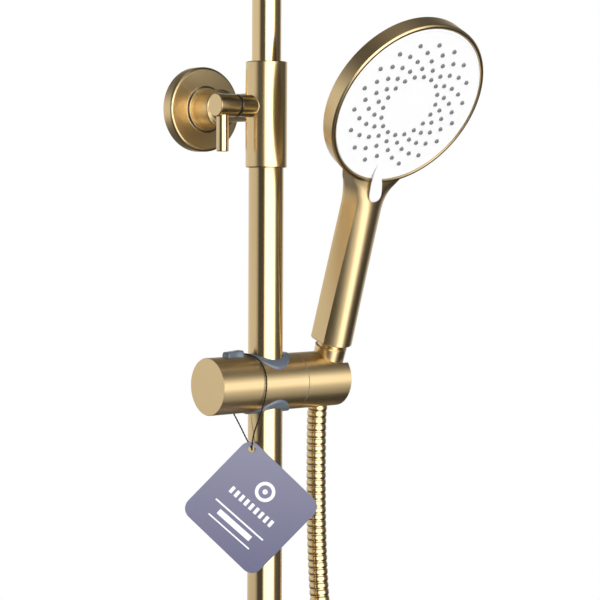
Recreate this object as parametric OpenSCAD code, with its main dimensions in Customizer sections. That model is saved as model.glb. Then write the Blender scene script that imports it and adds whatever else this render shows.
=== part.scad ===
// Wall-mounted rainfall shower column with a sliding handset holder.
// Millimetres. The origin is the centre of the wall flange's back face, on the wall.
// X runs to the right along the wall, Y into the wall, and Z up.

/* [Wall bracket] */
// Distance from the wall to the axis of the rail
wall_gap = 80; // [78:1:84]
// Outer diameter of the wall flange
flange_d = 60; // [58:1:64]
// Depth of the wall flange
flange_t = 9.5; // [9:0.5:11]
// Spacing of the two wall screws
screw_spacing = 34; // [33:1:35]

/* [Column] */
// Outer diameter of the lower tube, which is the slide rail
rail_d = 24; // [24:1:24]
// Outer diameter of the upper tube
riser_d = 20; // [20:1:20]
// Outer diameter of the collar that joins the tubes
collar_d = 28.3; // [28:0.1:29]
// Height of the arm's axis above the wall bracket
arm_z = 400; // [380:5:420]
// Reach of the arm from the rail to the rain head
arm_reach = 380; // [340:5:400]

/* [Rain head] */
// Diameter of the rain head
rain_d = 250; // [240:5:250]
// Rings of nozzles in the rain head
rain_rings = 5; // [3:1:5]

/* [Slider and holder] */
// Height of the slider's axis, below the bracket
slider_z = -189; // [-195:1:-185]
// Diameter of the slider barrel
barrel_d = 39; // [39:0.5:40]
// Left end of the barrel
barrel_left = -49; // [-50:0.5:-48]
// Right end of the barrel
barrel_right = 61.5; // [61.5:0.5:64]

/* [Handset] */
// Distance of the handset's axis to the right of the rail
handset_x = 52; // [51:0.5:52.5]
// Forward lean of the handset in the holder
lean = 18.2; // [18:0.1:18.4]
// Radius of the handset's head
head_r = 60.7; // [60:0.1:61]
// Further lean of the head against its handle
head_lean = 13.9; // [13:0.1:15]
// Rings of nozzles in the handset
spray_rings = 5; // [3:1:5]
// Number of swirling arms of nozzles on the handset's face
spray_arms = 18; // [16:1:20]

/* [Mixer] */
// Height of the mixer's axis, below the bracket
mixer_z = -870; // [-870:1:-870]
// Spacing of the two water inlets
inlet_spacing = 150; // [150:1:150]
// Diameter of the mixer's bar
mixer_d = 44; // [44:1:46]

/* [Hose and tag] */
// Outer diameter of the shower hose
hose_d = 14; // [13:0.5:14]
// Diameter of the tag's string
string_d = 1; // [0.8:0.1:1]
// Side of the square hang tag
tag_side = 68.5; // [66:0.5:69]

/* [Hidden] */
$fn = 48;

// Colours
brass = [0.77, 0.63, 0.39];
slate = [0.47, 0.53, 0.6];
steel = [0.7, 0.7, 0.72];
black = [0.12, 0.12, 0.13];
white = [0.96, 0.96, 0.96];
grey = [0.55, 0.56, 0.58];
violet = [0.5, 0.5, 0.64];

// Gap between two pieces of one body, and running gap between two bodies
snug = 0.03;
running = 0.06;

// Wall bracket
hub_r = 13.5;
hub_front = 30;
spigot_r = 8;
spigot_l = 26;
arm_r = 9.7;
plate_t = 4;
plate_r = 22;
screw_hole_r = 2.1;

// Collar and the telescopic joint
rail_r = rail_d / 2;
riser_r = riser_d / 2;
collar_r = collar_d / 2;
collar_z0 = -41.5;
collar_z1 = 30.5;
collar_lip_z = 26;
rail_top = -20;
rail_bore_r = rail_r - 1.5;
riser_bore_r = riser_r - 1.2;
riser_z0 = -260;

// Lock knob, on an axis that runs left through the collar
lock_boss_l = 25;
lock_knob_r = 7.7;
lock_knob_x0 = 27;
lock_knob_x1 = 43;
lock_screw_r = 2.95;
lock_pin_x = 37;
lock_pin_r = 4.15;
lock_pin_l = 31;

// Arm
bend_r = 80;
tip_bend_r = 40;
tip_y = -wall_gap - arm_reach;
tip_z = arm_z - tip_bend_r - 15;

// Rain head, measured from the centre of its ball
ball_z = tip_z - 25;
ball_r = 9;
seat_r = 11;
rain_top = ball_z - 20;
rain_t = 10;
rain_nozzle_r = 1.8;
rain_pitch = 20;

// Mixer
mixer_r = mixer_d / 2;
mixer_half = 95;
inlet_thread_r = 13.2;
inlet_end_y = -46;
union_step = 5;
wall_thread_r = 10.48;
wall_thread_l = 14;
outlet_x = handset_x;
outlet_z = mixer_z - 34;
hose_nut_z = mixer_z - 44;
hose_thread_r = 9.9;
column_seat_z = mixer_z + 36;
rail_z0 = column_seat_z + 2;
handle_r = 23;
handle_x0 = 95.5;
handle_x1 = 140;

// Slider
barrel_r = barrel_d / 2;
seam_x = 23.1;
ring_t = 0.5;
holder_x0 = seam_x + ring_t + 0.1;
liner_r = 15.2;
flange_r = 16.6;
flange_rise = 1.1;
sleeve_r = 13.3;
sleeve_h = 15;
button_x0 = -34;
button_x1 = -21;
button_half = 4.1;
button_floor = 2;

// Cone seat: its radius at height w along the handset's axis
function cone_r(w) = 10.2 + 0.0408 * w;
cone_bottom = -14;
cone_top = 24.6;
thread_w = 15.5;

// Handset: w runs up its axis and f forwards; the head's centre is at (head_f, head_w)
handle_w0 = 25;
neck_w = 136;
head_f = 25;
head_w = 206.4;
face_r = head_r - 3.2;
nozzle_r = 1.4;
swirl_r = 22.3;
swirl_step = 5.95;

// Tag: it hangs in a vertical plane turned by tag_turn, in front of the rail
tag_turn = -38.6;
tag_plane = -13.5;
tag_s = -9.2;
tag_z = -273.4;
tag_hole = [0.5, 40.3];
tag_round = 8;
tag_tilt = 46.2;
tag_t = 0.8;

// Hose route, from the cone nut down, round the loop and up to the mixer: [y, z] at outlet_x
hose_route = [
    [-75.57, -202.5], [-73.1, -210], [-72.2, -222], [-72, -245], [-72.2, -270],
    [-72.8, -295], [-74.2, -320], [-76.6, -345], [-81, -375], [-87, -410],
    [-94, -445], [-101, -480], [-108, -520], [-114, -560], [-119, -600],
    [-123, -640], [-126, -680], [-128, -720], [-130, -760], [-132, -800],
    [-134, -840], [-136, -880], [-139, -920], [-143, -960], [-147, -1000],
    [-151, -1040], [-155, -1080], [-157, -1120], [-156, -1160], [-147, -1190],
    [-128, -1212], [-101, -1220], [-74, -1212], [-55, -1190], [-46, -1160],
    [-45, -1120], [-49, -1080], [-56, -1040], [-64, -1000], [-72, -965],
    [-78, -935], [-79.7, -924], [-80, -918], [-80, -914.02]];

// String route, from the front of the tag's hole, over the barrel and back to the hole
string_route = [
    [-16.8, -86.6, -233], [-17.4, -88, -229], [-18, -90.5, -223], [-17.8, -93.5, -216],
    [-17, -96.5, -209], [-16, -99, -201], [-15.4, -100.6, -194], [-14.9, -100.8, -188],
    [-14.5, -99.8, -182], [-14.4, -97, -176.8], [-15, -92.2, -171.8], [-16.7, -86, -168.9],
    [-17.8, -80, -168.2], [-17.9, -74, -168.9], [-18.2, -68, -171.8], [-18.8, -63, -176.8],
    [-19.4, -60.2, -182], [-19.8, -59.1, -188], [-19.8, -59.4, -194], [-19.5, -61.4, -200],
    [-19, -64.8, -205.5], [-18.6, -69, -210.5], [-18.4, -73.5, -215.5], [-18, -77.5, -220.5],
    [-16.8, -80.5, -226], [-15, -82.8, -231], [-14.4, -85.8, -233.3]];

// Pieces turned about an axis
module tube(outer, inner, z0, z1) {
    difference() {
        translate([0, 0, z0]) cylinder(r = outer, h = z1 - z0);
        translate([0, 0, z0 - 1]) cylinder(r = inner, h = z1 - z0 + 2);
    }
}
module rod(r, z0, z1) { translate([0, 0, z0]) cylinder(r = r, h = z1 - z0); }
module torus(major, minor) { rotate_extrude() translate([major, 0]) circle(r = minor); }

// Local +Z turned towards the room, the wall, the left and the right
module to_room() { rotate([90, 0, 0]) children(); }
module to_wall() { rotate([-90, 0, 0]) children(); }
module to_left() { rotate([0, -90, 0]) children(); }
module to_right() { rotate([0, 90, 0]) children(); }
module at_rail(z = 0) { translate([0, -wall_gap, z]) children(); }
module both_sides(x) { for (side = [-1, 1]) translate([side * x, 0, 0]) children(); }

// A tube swept along a route of points, with flat ends
function unit(v) = v / norm(v);
function heading(p, i) = unit(p[min(i + 1, len(p) - 1)] - p[max(i - 1, 0)]);
function ring_points(p, i, r, sides) = let (
        t = heading(p, i), u = unit(cross(t, [1, 0, 0])), v = cross(t, u))
    [for (k = [0 : sides - 1]) p[i] + r * (cos(360 * k / sides) * u + sin(360 * k / sides) * v)];
module sweep(p, r, sides) {
    n = len(p);
    points = [for (i = [0 : n - 1]) each ring_points(p, i, r, sides)];
    walls = [for (i = [0 : n - 2], k = [0 : sides - 1]) let (m = (k + 1) % sides)
        [i * sides + k, i * sides + m, (i + 1) * sides + m, (i + 1) * sides + k]];
    start = [for (k = [sides - 1 : -1 : 0]) k];
    end = [for (k = [0 : sides - 1]) (n - 1) * sides + k];
    polyhedron(points = points, faces = concat(walls, [start, end]));
}

// ---- Wall bracket ----
module wall_plate() {
    color(steel) difference() {
        union() {
            to_room() rod(plate_r, 0, plate_t);
            to_room() rod(spigot_r, 0, spigot_l);
        }
        both_sides(screw_spacing / 2) to_room() {
            rod(screw_hole_r, -1, plate_t + 1);
            translate([0, 0, 1.7]) cylinder(r1 = screw_hole_r, r2 = 4.1, h = plate_t - 1.69);
        }
    }
}
module wall_flange() {
    r = flange_d / 2;
    hole = hub_r + snug;
    color(brass) to_room() rotate_extrude() polygon([
        [r - 1.6, 0], [r, 0], [r, flange_t - 1], [r - 1, flange_t], [hole + 1.4, flange_t],
        [hole + 1, flange_t + 1.2], [hole, flange_t + 1.2], [hole, flange_t - 1.6],
        [r - 2.4, flange_t - 1.6], [r - 1.6, flange_t - 2.4]]);
}
module bracket_arm() {
    color(brass) difference() {
        union() {
            to_room() rod(hub_r, plate_t + 0.6, hub_front);
            to_room() rod(arm_r, hub_front - 1, wall_gap - 8);
        }
        to_room() rod(spigot_r + snug, 0, spigot_l + 0.5);
        at_rail() rod(collar_r + snug, -20, 20);
        translate([0, -18, -hub_r - 1]) cylinder(r = 2, h = 7);
    }
}
module arm_grub_screw() {
    color(steel) difference() {
        translate([0, -18, -hub_r + 0.4]) cylinder(r = 1.97, h = 5);
        translate([0, -18, -hub_r]) cylinder(r = 1, h = 2.5, $fn = 6);
    }
}

// ---- Collar, lock knob and telescopic tubes ----
module collar() {
    color(brass) at_rail() difference() {
        union() {
            rotate_extrude() polygon([
                [0, collar_z0], [collar_r - 0.7, collar_z0], [collar_r, collar_z0 + 0.7],
                [collar_r, collar_z1 - 0.7], [collar_r - 0.7, collar_z1], [0, collar_z1]]);
            to_left() rod(7.4, 10, lock_boss_l);
            to_left() rod(5.4, lock_boss_l - 1, lock_boss_l + 1.7);
            to_left() translate([0, 0, 12.6]) cylinder(r1 = 9, r2 = 7.4, h = 2.4);
        }
        rod(rail_r + snug, collar_z0 - 1, collar_lip_z);
        rod(riser_r + 0.15, collar_lip_z - 1, collar_z1 + 1);
        to_left() rod(3, 5, lock_boss_l + 3);
    }
}
module collar_bush() {
    color(grey) at_rail() difference() {
        tube(rail_r, riser_r + running, rail_top + 0.3, collar_lip_z - 0.1);
        to_left() rod(3.1, 5, 16);
    }
}
module lock_pad() { color(brass) at_rail() to_left() rod(2.9, riser_r + 0.04, 11.9); }
module lock_o_ring() {
    color(black) at_rail() translate([-lock_boss_l - 0.96, 0, 0]) to_left() torus(6.36, 0.92);
}
module lock_screw() { color(steel) at_rail() to_left() rod(lock_screw_r, 12, 40); }
module lock_knob() {
    color(brass) at_rail() difference() {
        to_left() rotate_extrude() polygon([
            [0, lock_knob_x0], [lock_knob_r, lock_knob_x0], [lock_knob_r, lock_knob_x1 - 0.3],
            [lock_knob_r - 0.3, lock_knob_x1], [0, lock_knob_x1]]);
        to_left() rod(lock_screw_r + snug, lock_knob_x0 - 1, 40.5);
        translate([-lock_pin_x, 0, -9]) cylinder(r = 2.55, h = 5.8);
    }
}
module lock_pin() {
    color(brass) at_rail() union() {
        difference() {
            translate([-lock_pin_x, 0, 0]) rotate([180, 0, 0]) rotate_extrude() polygon([
                [0, 4], [lock_pin_r, 4], [lock_pin_r, lock_pin_l - 0.4],
                [lock_pin_r - 0.4, lock_pin_l], [0, lock_pin_l]]);
            to_left() rod(lock_knob_r + snug, 0, 50);
        }
        translate([-lock_pin_x, 0, 0]) rod(2.5, -9, -3.3);
    }
}
module rail() { color(brass) at_rail() rail_shape(); }
module rail_shape() {
    difference() {
        union() {
            rod(rail_r, rail_z0, rail_top);
            rod(13, rail_z0, rail_z0 + 3);
        }
        rod(rail_bore_r, rail_z0 - 1, rail_top + 1);
    }
}
// The riser's centre line, drawn as a solid of radius r, with its ends longer by extra
module riser_path(r, extra) {
    at_rail() rod(r, riser_z0 - extra, arm_z - bend_r);
    translate([0, -wall_gap - bend_r, arm_z - bend_r]) rotate([90, 0, 90])
        rotate_extrude(angle = 90) translate([bend_r, 0]) circle(r = r);
    translate([0, 0, arm_z]) to_room() rod(r, wall_gap + bend_r, -tip_y - tip_bend_r);
    translate([0, tip_y + tip_bend_r, arm_z - tip_bend_r]) rotate([90, 0, 90]) rotate([0, 0, 90])
        rotate_extrude(angle = 90) translate([tip_bend_r, 0]) circle(r = r);
    translate([0, tip_y, 0]) rod(r, tip_z - extra, arm_z - tip_bend_r);
}
module riser_tube() {
    color(brass) difference() {
        riser_path(riser_r, 0);
        riser_path(riser_bore_r, 1);
    }
}
module seal_carrier() {
    color(white) at_rail(riser_z0) rotate_extrude() polygon([
        [6, -20], [rail_bore_r - 0.08, -20], [rail_bore_r - 0.08, -15], [9, -15], [9, -13],
        [rail_bore_r - 0.08, -13], [rail_bore_r - 0.08, -7], [9, -7], [9, -5],
        [rail_bore_r - 0.08, -5], [rail_bore_r - 0.08, -0.1], [riser_bore_r - running, -0.1],
        [riser_bore_r - running, 10], [6, 10]]);
}
module riser_seals() {
    color(black) for (z = [-14, -6]) at_rail(riser_z0 + z) torus(9.75, 0.71);
}

// ---- Ball joint and rain head ----
module at_ball() { translate([0, tip_y, ball_z]) children(); }
module swivel_ball() {
    color(brass) at_ball() difference() {
        union() {
            sphere(r = ball_r);
            rod(5.5, 5, 15);
            rod(13, 14, 32);
        }
        rod(riser_r + snug, 25, 33);
        rod(3.5, -12, 26);
    }
}
module ball_seat() {
    color(white) at_ball() difference() {
        intersection() {
            sphere(r = seat_r);
            rod(12, -4.5, 4.5);
        }
        sphere(r = ball_r + running);
    }
}
module swivel_nut() {
    color(brass) at_ball() difference() {
        rotate_extrude() polygon([
            [0, -14], [15, -14], [15, 5], [12.5, 8], [0, 8]]);
        sphere(r = seat_r + running);
        rod(12.05, -15, -4);
        rod(8.7, 5, 9);
    }
}
module rain_shell() {
    r = rain_d / 2;
    color(brass) at_ball() difference() {
        rotate_extrude() polygon([
            [0, -20 - rain_t], [r - 1, -20 - rain_t], [r, -19 - rain_t], [r, -22.5], [r - 2.5, -20],
            [22, -20], [16, -17], [12, -17], [12, -5], [0, -5]]);
        sphere(r = seat_r + running);
        rod(4, -25, -8);
        rod(r - 4, -21 - rain_t, -22);
    }
}
// Calls its child once for each nozzle: six on the first ring and six more on each next one
module on_rings(rings, pitch) {
    for (ring = [1 : rings], k = [0 : 6 * ring - 1])
        rotate([0, 0, 60 * k / ring + 12 * ring]) translate([ring * pitch, 0, 0]) children();
}
module rain_face() {
    color(steel) at_ball() difference() {
        rod(rain_d / 2 - 4.05, -20 - rain_t, -18 - rain_t);
        on_rings(rain_rings, rain_pitch) rod(rain_nozzle_r + 0.05, -21 - rain_t, -17 - rain_t);
    }
}
module rain_nozzles() {
    color(grey) at_ball() {
        rod(rain_d / 2 - 6, -17.9 - rain_t, -16.4 - rain_t);
        on_rings(rain_rings, rain_pitch) rod(rain_nozzle_r, -22 - rain_t, -17 - rain_t);
    }
}
module rain_gasket() {
    color(black) at_ball() translate([0, 0, -15.2 - rain_t]) torus(rain_d / 2 - 5.2, 1);
}

// ---- Mixer ----
module at_mixer() { translate([0, -wall_gap, mixer_z]) children(); }
module hex_nut(r, bore, seat, seat_r, z0, z1) {
    difference() {
        translate([0, 0, z0]) cylinder(r = r, h = z1 - z0, $fn = 6);
        rod(bore, z0 - 1, seat);
        rod(seat_r, z0 - 1, z1 + 1);
    }
}
module column_nut() {
    color(brass) at_mixer() hex_nut(17.5, inlet_thread_r + 0.05, 41.05, rail_r + 0.05, 24, 46);
}
module column_washer() { color(black) at_mixer() tube(12.9, 8, 36, 38); }
module mixer_body() {
    color(brass) at_mixer() difference() {
        union() {
            to_left() rod(mixer_r, -mixer_half, mixer_half);
            rod(inlet_thread_r, 16, 36);
            both_sides(inlet_spacing / 2) to_wall() rod(inlet_thread_r, 14, wall_gap + inlet_end_y);
            translate([outlet_x, 0, 0]) rod(hose_thread_r, -34, -18);
        }
        both_sides((mixer_half + 10) / 2 + 0.5) to_left() rod(15, -43, 43);
        both_sides(inlet_spacing / 2) to_wall() rod(8, 10, wall_gap);
        rod(8, -6, 37);
        to_right() rod(6, 0, 12);
        translate([outlet_x, 0, 0]) rod(5, -35, -12);
    }
}
module cartridge() {
    difference() {
        rod(14.95, 30, 90);
        tube(16, 12, 48, 56);
        tube(16, 12, 70, 80);
        rod(4.06, 58, 91);
    }
}
module spindle() { rod(4, 60, 112); }
module handle_shell() {
    difference() {
        rotate_extrude() polygon([
            [0, handle_x0], [handle_r, handle_x0], [handle_r, handle_x1 - 1.5],
            [handle_r - 1.5, handle_x1], [0, handle_x1]]);
        tube(handle_r - 2.5, 7, handle_x0 - 1, handle_x1 - 3);
        rod(7.1, handle_x0 - 1, 104);
        rod(4.03, 100, 112.5);
    }
}
module temp_cartridge() { color(white) at_mixer() to_left() cartridge(); }
module temp_spindle() { color(steel) at_mixer() to_left() spindle(); }
module temp_handle() {
    color(brass) at_mixer() difference() {
        to_left() handle_shell();
        translate([-118, 0, 0]) to_room() rod(4.6, 10, 30);
    }
}
module temp_stop_button() {
    color(black) at_mixer() translate([-118, 0, 0]) to_room() rod(4.5, 12, 24.3);
}
module flow_cartridge() { color(white) at_mixer() to_right() cartridge(); }
module flow_spindle() { color(steel) at_mixer() to_right() spindle(); }
module flow_handle() { color(brass) at_mixer() to_right() handle_shell(); }
module at_inlets() {
    both_sides(inlet_spacing / 2) translate([0, 0, mixer_z]) to_room() children();
}
module inlet_filters() { color(steel) at_inlets() tube(12.5, 7, 43.5, 46); }
module wall_unions() {
    color(brass) at_inlets() difference() {
        union() {
            rod(12.6, 40.5, 43.5);
            rod(9.5, 22, 41);
            translate([0, -union_step / 2, 0]) rod(12.5, 8, 24);
            translate([0, -union_step, 0]) {
                rod(wall_thread_r, -wall_thread_l, -0.5);
                rod(wall_thread_r - 0.7, -1, 9);
            }
        }
        rod(6.5, 10, 45);
        translate([0, -union_step, 0]) rod(6.5, -wall_thread_l - 1, 12);
    }
}
module inlet_nuts() {
    color(brass) at_inlets() translate([0, 0, 92]) rotate([180, 0, 0])
        hex_nut(17, inlet_thread_r + 0.05, 51.55, 9.6, 36, 56);
}
module inlet_rosettes() {
    color(brass) at_inlets() translate([0, -union_step / 2, 0]) rotate_extrude() polygon([
        [29.5, 0], [31, 0], [31, 10], [28, 13], [12.6, 13], [12.6, 11.2], [27.2, 11.2],
        [29.5, 9]]);
}

// ---- Hose ----
module at_outlet() { translate([outlet_x, -wall_gap, mixer_z]) children(); }
module outlet_washer() { color(black) at_outlet() tube(9.8, 5, -35.98, -34.02); }
module hose_nut() {
    color(brass) at_outlet() difference() {
        translate([0, 0, -44]) cylinder(r = 13.4, h = 18, $fn = 6);
        rod(hose_thread_r + 0.05, -36, -25);
        rod(4.5, -45, -30);
    }
}
module hose() {
    route = [for (p = hose_route) [outlet_x, p[0], p[1]]];
    color(brass) sweep(route, hose_d / 2, 12);
}

// ---- Handset, in a frame whose Z is the axis of the cone seat ----
module at_holder() {
    translate([handset_x, -wall_gap, slider_z]) rotate([lean, 0, 0]) children();
}
// The head's frame: Z is the way the face looks, and the centre of the rim's plane is the origin
module at_head() {
    at_holder() translate([0, -head_f, head_w]) rotate([90 + head_lean, 0, 0]) children();
}
module cone_nut() {
    color(brass) at_holder() rotate_extrude() polygon([
        [4.5, cone_bottom], [cone_r(cone_bottom) - 0.05, cone_bottom],
        [cone_r(cone_top) - 0.05, cone_top], [hose_thread_r + 0.05, cone_top],
        [hose_thread_r + 0.05, thread_w], [4.5, thread_w]]);
}
module cone_washer() { color(black) at_holder() tube(9.8, 5, thread_w + 0.02, thread_w + 2); }
module handset_tail() {
    color(brass) at_holder() tube(hose_thread_r, 6, thread_w + 2.02, 45);
}
// One slice of the handle: flat sides, a bowed front and a gently bowed back
module handle_slice(w, width, back, front, bow) {
    translate([0, 0, w]) linear_extrude(height = 0.5) {
        translate([-width / 2, -front]) square([width, front - back]);
        intersection() {
            translate([0, -front]) scale([width / 2, bow]) circle(r = 1, $fn = 32);
            translate([-width, -front - 20]) square([2 * width, 20]);
        }
        intersection() {
            translate([0, -back]) scale([width / 2, 2.5]) circle(r = 1, $fn = 32);
            translate([-width, -back]) square([2 * width, 20]);
        }
    }
}
module handset_shell() {
    color(brass) difference() {
        union() {
            at_holder() hull() {
                handle_slice(handle_w0, 26, -8, 6, 8.5);
                handle_slice(neck_w, 22.4, -8.5, 8, 4);
            }
            hull() {
                at_holder() handle_slice(neck_w - 4, 22.4, -8.5, 8, 4);
                at_head() translate([0, -44, -14]) cylinder(r = 15, h = 8, $fn = 32);
            }
            at_head() rotate_extrude() polygon([
                [0, -19.5], [30, -18.5], [50, -15.8], [head_r - 1, -12.9], [head_r, -11.5],
                [head_r, -1.2], [head_r - 1, 0], [0, 0]]);
        }
        at_head() rod(face_r + 0.2, -10, 1);
        at_holder() rod(hose_thread_r + 0.05, handle_w0 - 1, 46);
        at_holder() rod(5.5, 45, 170);
    }
}
module on_swirl() {
    for (arm = [1 : spray_arms], ring = [0 : spray_rings - 1]) {
        turn = 360 / spray_arms * (arm + ring / 2) + 5;
        r = swirl_r + swirl_step * ring;
        covered = r * sin(turn) < -45 && abs(r * cos(turn) + 4) < 4;
        if (!covered) translate([r * cos(turn), r * sin(turn), 0]) children();
    }
}
module spray_distributor() {
    color(grey) at_head() tube(face_r - 2, 4, -9.9, -6.5);
}
module spray_face() {
    color(white) at_head() difference() {
        union() {
            rod(face_r - 0.1, -1.9, -0.3);
            rod(7, -6, -1.5);
        }
        on_swirl() rod(nozzle_r + 0.06, -3, 1);
    }
}
module spray_nozzles() {
    color(grey) at_head() {
        tube(face_r - 4, 7.1, -3.5, -1.96);
        on_swirl() rod(nozzle_r, -2.5, 0.6);
    }
}
module spray_lever() {
    color(white) at_head() hull() {
        translate([-5.5, -45.5, -0.29]) cylinder(r = 0.8, h = 1.4, $fn = 32);
        translate([-3.5, -54, 1.2]) cylinder(r = 4.2, h = 1.8, $fn = 32);
        translate([-1.5, -67, 4.7]) cylinder(r = 5, h = 1.8, $fn = 32);
    }
}

// ---- Slider and holder ----
module at_slider() { at_rail(slider_z) children(); }
module barrel(r, x0, x1) { to_right() rod(r, x0, x1); }
module slider_body() {
    color(brass) at_slider() difference() {
        to_right() rotate_extrude() polygon([
            [0, barrel_left], [barrel_r - 0.3, barrel_left], [barrel_r, barrel_left + 0.3],
            [barrel_r, seam_x], [0, seam_x]]);
        rod(liner_r + snug, -25, 25);
        translate([button_x0 - 0.3, -button_half - 0.3, button_floor])
            cube([button_x1 - button_x0 + 0.5, 2 * button_half + 0.6, 30]);
        to_right() rod(2.5, 15, 30);
    }
}
module slider_liner() {
    skin = barrel_r + flange_rise;
    color(slate) at_slider() difference() {
        union() {
            intersection() {
                rod(liner_r, -25, 25);
                barrel(skin, -20, 20);
            }
            intersection() {
                rod(flange_r, -25, 25);
                difference() {
                    barrel(skin, -20, 20);
                    barrel(barrel_r + snug, -21, 21);
                }
            }
        }
        rod(rail_r + 0.12, -26, 26);
        rod(sleeve_r + 0.1, -sleeve_h - 0.2, sleeve_h + 0.2);
        to_right() rod(2.6, 12, 20);
    }
}
module brake_sleeve() {
    color(grey) at_slider() difference() {
        tube(sleeve_r, rail_r + running, -sleeve_h, sleeve_h);
        translate([-0.5, 0, -20]) cube([1, 20, 40]);
    }
}
module slider_button() {
    color(slate) at_slider() union() {
        translate([0, button_half, 0]) rotate([90, 0, 0]) linear_extrude(height = 2 * button_half)
            polygon([[button_x0, 12], [button_x0, 20.6], [button_x0 + 1.4, 22.8],
                [button_x1 - 1.6, 23.6], [button_x1, 22], [button_x1, 12]]);
        translate([(button_x0 + button_x1) / 2, 0, 0]) rod(2.5, 6, 13);
    }
}
module button_spring() {
    color(steel) at_slider() translate([(button_x0 + button_x1) / 2, 0, 0])
        tube(4, 3, button_floor + 0.05, 11.95);
}
module holder_ring() {
    color(grey) at_slider() to_right() tube(barrel_r - 0.3, 6, seam_x + 0.05, seam_x + 0.05 + ring_t);
}
module holder() {
    color(brass) difference() {
        at_slider() to_right() rotate_extrude() polygon([
            [0, holder_x0], [barrel_r, holder_x0], [barrel_r, barrel_right - 0.4],
            [barrel_r - 0.4, barrel_right], [0, barrel_right]]);
        at_holder() translate([0, 0, -30]) cylinder(r1 = cone_r(-30), r2 = cone_r(30), h = 60);
        at_holder() translate([0, -8, -30]) cube([15, 16, 60]);
        at_holder() translate([0, -11, 8]) cube([15, 22, 30]);
        at_slider() to_right() rod(2.53, 20, 40);
        at_slider() to_right() rod(4.5, 34.4, 45);
    }
}
module holder_bolt() {
    color(steel) at_slider() to_right() difference() {
        union() {
            rod(2.45, 16.5, 35);
            rod(4.2, 34.5, 38.5);
        }
        translate([0, 0, 36]) cylinder(r = 2, h = 4, $fn = 6);
    }
}

// ---- Hang tag ----
module rounded_square(side, r) {
    square([side - 2 * r, side], center = true);
    square([side, side - 2 * r], center = true);
    for (x = [-1, 1], y = [-1, 1]) translate([x, y] * (side / 2 - r)) circle(r = r);
}
module tag_card() {
    color(violet) at_rail() rotate([0, 0, tag_turn]) translate([tag_s, tag_plane, tag_z])
        rotate([90, 0, 0]) translate([0, 0, -tag_t / 2]) linear_extrude(height = tag_t) difference() {
            rotate([0, 0, tag_tilt]) rounded_square(tag_side, tag_round);
            translate(tag_hole) circle(r = 2.5);
        }
}
module tag_string() { color(black) sweep(string_route, string_d / 2, 8); }

wall_plate();
wall_flange();
bracket_arm();
arm_grub_screw();
collar();
collar_bush();
lock_pad();
lock_o_ring();
lock_screw();
lock_knob();
lock_pin();
rail();
riser_tube();
seal_carrier();
riser_seals();
swivel_ball();
ball_seat();
swivel_nut();
rain_shell();
rain_face();
rain_nozzles();
rain_gasket();
column_nut();
column_washer();
mixer_body();
temp_cartridge();
temp_spindle();
temp_handle();
temp_stop_button();
flow_cartridge();
flow_spindle();
flow_handle();
inlet_filters();
wall_unions();
inlet_nuts();
inlet_rosettes();
outlet_washer();
hose_nut();
hose();
cone_nut();
cone_washer();
handset_tail();
handset_shell();
spray_distributor();
spray_face();
spray_nozzles();
spray_lever();
slider_body();
slider_liner();
brake_sleeve();
slider_button();
button_spring();
holder_ring();
holder();
holder_bolt();
tag_card();
tag_string();
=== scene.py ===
"""Looks for the rainfall shower column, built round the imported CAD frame.

Lengths are in millimetres in the row frame and become metres when a mesh is made.
"""

import math

import bmesh
import bpy
from mathutils import Matrix, Vector


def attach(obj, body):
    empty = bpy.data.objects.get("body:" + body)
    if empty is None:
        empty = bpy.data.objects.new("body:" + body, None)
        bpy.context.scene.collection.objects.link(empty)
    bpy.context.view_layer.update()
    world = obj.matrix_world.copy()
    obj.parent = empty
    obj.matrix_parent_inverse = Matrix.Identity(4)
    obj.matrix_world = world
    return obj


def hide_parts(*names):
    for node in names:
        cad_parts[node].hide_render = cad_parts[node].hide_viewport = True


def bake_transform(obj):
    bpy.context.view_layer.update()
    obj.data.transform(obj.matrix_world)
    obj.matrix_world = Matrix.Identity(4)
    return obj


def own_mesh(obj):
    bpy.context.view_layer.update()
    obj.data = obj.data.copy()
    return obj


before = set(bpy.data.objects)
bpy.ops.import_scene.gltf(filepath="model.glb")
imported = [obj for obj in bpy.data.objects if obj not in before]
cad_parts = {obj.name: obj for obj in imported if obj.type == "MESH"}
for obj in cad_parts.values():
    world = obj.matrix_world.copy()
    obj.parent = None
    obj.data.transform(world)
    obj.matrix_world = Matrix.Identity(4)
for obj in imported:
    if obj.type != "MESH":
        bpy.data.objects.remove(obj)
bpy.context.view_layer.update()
MM = 0.001

# ---------------------------------------------------------------- camera
CAMERA_PLACE = Vector((-0.80553, -1.12677, -0.05210))
AZIMUTH, DOWN, ROLL = -0.673743, 0.060389, -0.004972
LENS, SENSOR_WIDTH = 115.72, 36
NEAR, FAR = 0.05, 50


def make_camera():
    ahead = Vector((
        -math.sin(AZIMUTH) * math.cos(DOWN),
        math.cos(AZIMUTH) * math.cos(DOWN),
        -math.sin(DOWN),
    ))
    flat_right = Vector((math.cos(AZIMUTH), math.sin(AZIMUTH), 0))
    flat_down = ahead.cross(flat_right)
    right = math.cos(ROLL) * flat_right + math.sin(ROLL) * flat_down
    down = math.cos(ROLL) * flat_down - math.sin(ROLL) * flat_right
    data = bpy.data.cameras.new("camera")
    data.lens, data.sensor_width = LENS, SENSOR_WIDTH
    data.clip_start, data.clip_end = NEAR, FAR
    cam = bpy.data.objects.new("camera", data)
    bpy.context.collection.objects.link(cam)
    turn = Matrix((right, -down, -ahead)).transposed()
    cam.matrix_world = Matrix.Translation(CAMERA_PLACE) @ turn.to_4x4()
    bpy.context.scene.camera = cam


make_camera()


# ---------------------------------------------------------------- frames of the moving parts
def shift(x, y, z):
    return Matrix.Translation((x, y, z))


def spin(degrees, axis):
    return Matrix.Rotation(math.radians(degrees), 4, axis)


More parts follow.
